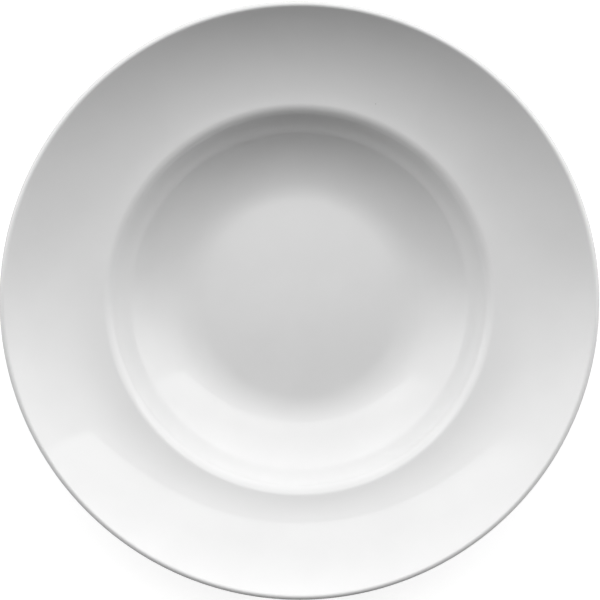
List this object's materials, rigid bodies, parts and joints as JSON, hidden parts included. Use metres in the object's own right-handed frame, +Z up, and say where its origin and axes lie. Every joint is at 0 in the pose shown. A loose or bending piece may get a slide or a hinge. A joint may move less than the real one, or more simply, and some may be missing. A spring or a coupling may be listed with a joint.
{
  "type": "rimmed soup plate",
  "caption": "Round white glazed porcelain soup plate with a deep rounded well, a wide rising rim with a rounded lip, and a low foot ring with a bare tread.",
  "frame": {"origin": "centre of the foot ring's tread, on the surface that the plate stands on", "axes": "+Z up along the plate's axis of revolution, X and Y in the plane of the table"},
  "size_m": [0.24, 0.24, 0.0431],
  "materials": {
    "bisque": "matt, bare fired porcelain at the tread of the foot ring",
    "glaze": "white, high gloss, clear fired glaze over a white body",
    "base_glaze": "white, gloss, a little thinner and less even than the upper face"
  },
  "bodies": {
    "root": {"porcelain_body": "bisque", "main_glaze": "glaze", "base_glaze": "base_glaze"}
  },
  "joints": []
}
